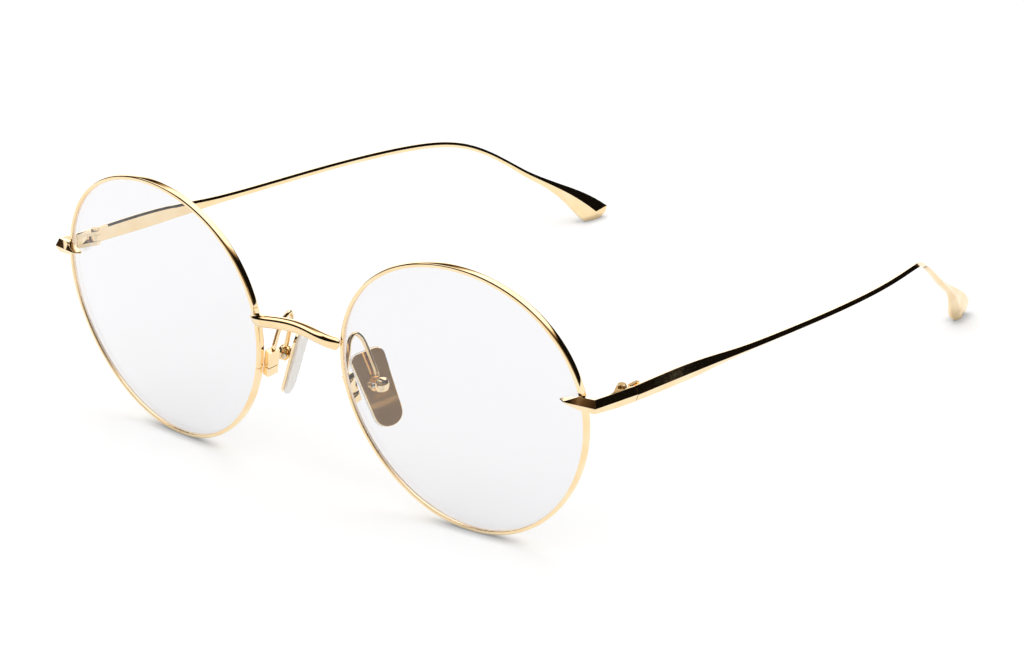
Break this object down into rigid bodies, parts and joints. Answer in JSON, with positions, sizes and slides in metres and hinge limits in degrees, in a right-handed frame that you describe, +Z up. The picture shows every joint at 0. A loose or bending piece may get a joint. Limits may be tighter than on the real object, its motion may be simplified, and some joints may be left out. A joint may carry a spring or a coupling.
{
  "type": "round wire-framed spectacles",
  "caption": "Gold wire-framed round spectacles with clear lenses, folding temples with flat fishtail ends, and rocking nose pads.",
  "frame": {"origin": "Centre of the open spectacles in plan, on the level surface that they stand on.", "axes": "+X to the wearer's left, +Y from the front back to the ears, +Z up. The rims stand on Z = 0 at the front and the temple ends at the back."},
  "size_m": [0.1288, 0.1476, 0.0511],
  "materials": {
    "gold": "mirror-polished gold plate",
    "steel": "turned bright steel",
    "lens": "clear, polished, anti-reflection coated",
    "silicone": "clear satin silicone"
  },
  "bodies": {
    "front": {"rim_left": "gold", "rim_right": "gold", "lens_left": "lens", "lens_right": "lens", "rim_lock_upper_left": "gold", "rim_lock_upper_right": "gold", "rim_lock_lower_left": "gold", "rim_lock_lower_right": "gold", "rim_lock_screw_left": "steel", "rim_lock_screw_right": "steel", "bridge": "gold", "pad_arm_left": "gold", "pad_arm_right": "gold", "pad_box_left": "gold", "pad_box_right": "gold", "pad_screw_left": "steel", "pad_screw_right": "steel", "end_piece_left": "gold", "end_piece_right": "gold", "hinge_leaf_front_left": "gold", "hinge_leaf_front_right": "gold", "hinge_screw_left": "gold", "hinge_screw_right": "gold"},
    "left_temple": {"temple_left": "gold", "hinge_leaf_temple_left": "gold"},
    "right_temple": {"temple_right": "gold", "hinge_leaf_temple_right": "gold"},
    "left_pad": {"pad_plate_left": "gold", "pad_cushion_left": "silicone"},
    "right_pad": {"pad_plate_right": "gold", "pad_cushion_right": "silicone"}
  },
  "joints": [
    {"name": "fold_left", "type": "hinge", "parent": "front", "child": "left_temple", "pos_m": [0.06238, -0.0586, 0.0305], "axis": [0, 0, 1], "range_deg": [0, 84]},
    {"name": "fold_right", "type": "hinge", "parent": "front", "child": "right_temple", "pos_m": [-0.06238, -0.0586, 0.0305], "axis": [0, 0, -1], "range_deg": [0, 77]},
    {"name": "rock_left_pad", "type": "hinge", "parent": "front", "child": "left_pad", "pos_m": [0.01168, -0.06229, 0.02071], "axis": [0.5, 0.866, 0], "range_deg": [-8, 8]},
    {"name": "rock_right_pad", "type": "hinge", "parent": "front", "child": "right_pad", "pos_m": [-0.01168, -0.06229, 0.02071], "axis": [-0.5, 0.866, 0], "range_deg": [-8, 8]}
  ]
}
